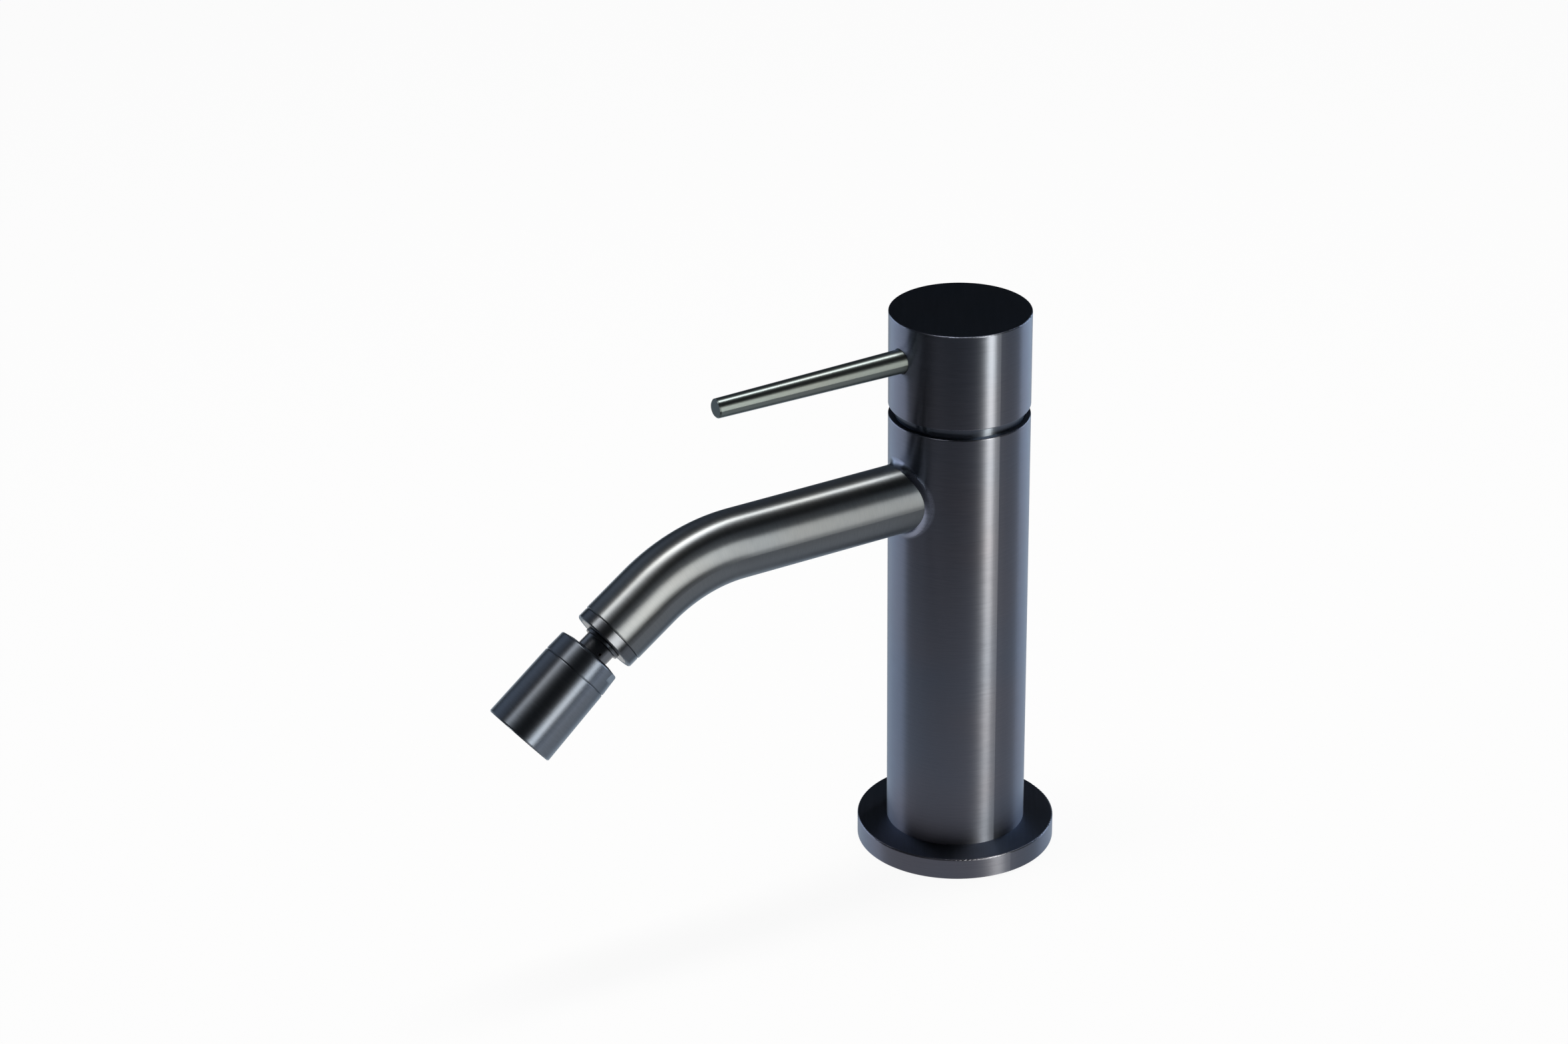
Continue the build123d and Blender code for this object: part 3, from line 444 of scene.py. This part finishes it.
aimPoint = (0, -0.05, 0.08)
turned = ["body", "base_flange", "handle_cap"]
column = turned + ["collar_dome"]
spray = ["nozzle_nut", "nozzle_sleeve"]
neck = ["ball_stem", "ball_adapter"]
spout = ["spout_tube", "spout_ring"]
arms = spout + ["lever"]
lamps = {
    "keySoftbox": {"azimuth": -12, "elevation": 10, "distance": 0.30, "aim": (0, -0.062, 0.08),
                   "size": (0.14, 0.25), "power": 1.95, "color": (1.0, 0.95, 0.85), "lights": arms},
    "nozzleKey": {"azimuth": -3, "elevation": -6, "distance": 0.30, "aim": (0, -0.125, 0.06),
                  "size": (0.14, 0.08), "power": 1.0, "color": (1.0, 0.97, 0.90), "lights": spray},
    "topSoftbox": {"azimuth": 180, "elevation": 83, "distance": 0.9, "aim": (0, 0.02, 0.08),
                   "size": (0.75, 0.12), "power": 6.5, "color": (1.0, 0.97, 0.92)},
    "topStrip": {"azimuth": 180, "elevation": 75, "distance": 0.8,
                 "size": (0.5, 0.06), "power": 7.0, "color": (1.0, 0.95, 0.86), "lights": spout},
    "leverStrip": {"azimuth": 180, "elevation": 89, "distance": 0.8,
                   "size": (0.5, 0.06), "power": 4.5, "color": (1.0, 0.97, 0.92),
                   "lights": ["lever"]},
    "columnStrip": {"azimuth": 21, "elevation": 17, "distance": 0.40,
                    "size": (0.08, 0.34), "power": 2.3, "color": (1.0, 0.95, 0.77),
                    "lights": column},
    "coolFill": {"azimuth": 215, "elevation": 20, "distance": 1.0,
                 "size": (1.0, 0.7), "power": 1.8, "color": (0.75, 0.85, 1.0),
                 "lights": arms + spray + neck},
    "leftCard": {"azimuth": 210, "elevation": 5, "distance": 0.9,
                 "size": (0.9, 0.5), "power": 7.2, "color": (0.83, 0.90, 1.0), "lights": turned},
    "rightCard": {"azimuth": 92, "elevation": 5, "distance": 0.9,
                  "size": (0.6, 0.5), "power": 4.6, "color": (0.83, 0.90, 1.0), "lights": turned},
    "sprayCard": {"azimuth": 85, "elevation": 8, "distance": 0.9,
                  "size": (0.6, 0.5), "power": 11.0, "color": (0.80, 0.88, 1.0),
                  "lights": spray + neck},
    "spoutFill": {"azimuth": -12, "elevation": 40, "distance": 0.8,
                  "size": (0.3, 0.5), "power": 0.7, "color": (0.90, 0.95, 1.0),
                  "lights": ["spout_tube"]},
}


def facing(aim, azimuth, elevation, distance):
    side, rise = radians(azimuth), radians(elevation)
    away = Vector((cos(rise) * cos(side), cos(rise) * sin(side), sin(rise)))
    turn = (-away).to_track_quat("-Z", "Y").to_matrix().to_4x4()
    return Matrix.Translation(Vector(aim) + away * distance) @ turn


def buildLamps():
    for name, setup in lamps.items():
        light = bpy.data.lights.new(name, "AREA")
        light.shape = "RECTANGLE"
        light.size, light.size_y = setup["size"]
        light.energy = setup["power"]
        light.color = setup["color"]
        lamp = bpy.data.objects.new(name, light)
        lamp.matrix_world = facing(setup.get("aim", aimPoint), setup["azimuth"],
                                   setup["elevation"], setup["distance"])
        lamp.visible_camera = False
        bpy.context.scene.collection.objects.link(lamp)
        if "lights" in setup:
            group = bpy.data.collections.new(name + "Group")
            for piece in setup["lights"]:
                group.objects.link(nodes[piece])
            lamp.light_linking.receiver_collection = group


cameraSetup = {
    "place": Vector((741.88, -506.87, 515.6)) * mm,
    "right": Vector((0.52720655, 0.84969477, -0.00848793)),  # where the picture's right side points
    "up": Vector((-0.36145535, 0.23328843, 0.90273282)),
    "sensor": 36.0,
    "lens": 92.06,
    "near": 0.05,
    "far": 20.0,
}


def buildCamera():
    data = bpy.data.cameras.new("photoCamera")
    data.sensor_width = cameraSetup["sensor"]
    data.lens = cameraSetup["lens"]
    data.clip_start, data.clip_end = cameraSetup["near"], cameraSetup["far"]
    camera = bpy.data.objects.new("photoCamera", data)
    right, up = cameraSetup["right"], cameraSetup["up"]
    turn = Matrix((right, up, right.cross(up))).transposed().to_4x4()
    camera.matrix_world = Matrix.Translation(cameraSetup["place"]) @ turn
    bpy.context.scene.collection.objects.link(camera)
    bpy.context.scene.camera = camera


buildFloor()
buildWorld()
buildTent()
buildLamps()
buildCamera()
bpy.context.scene.view_settings.view_transform = "Standard"
print("studio done")
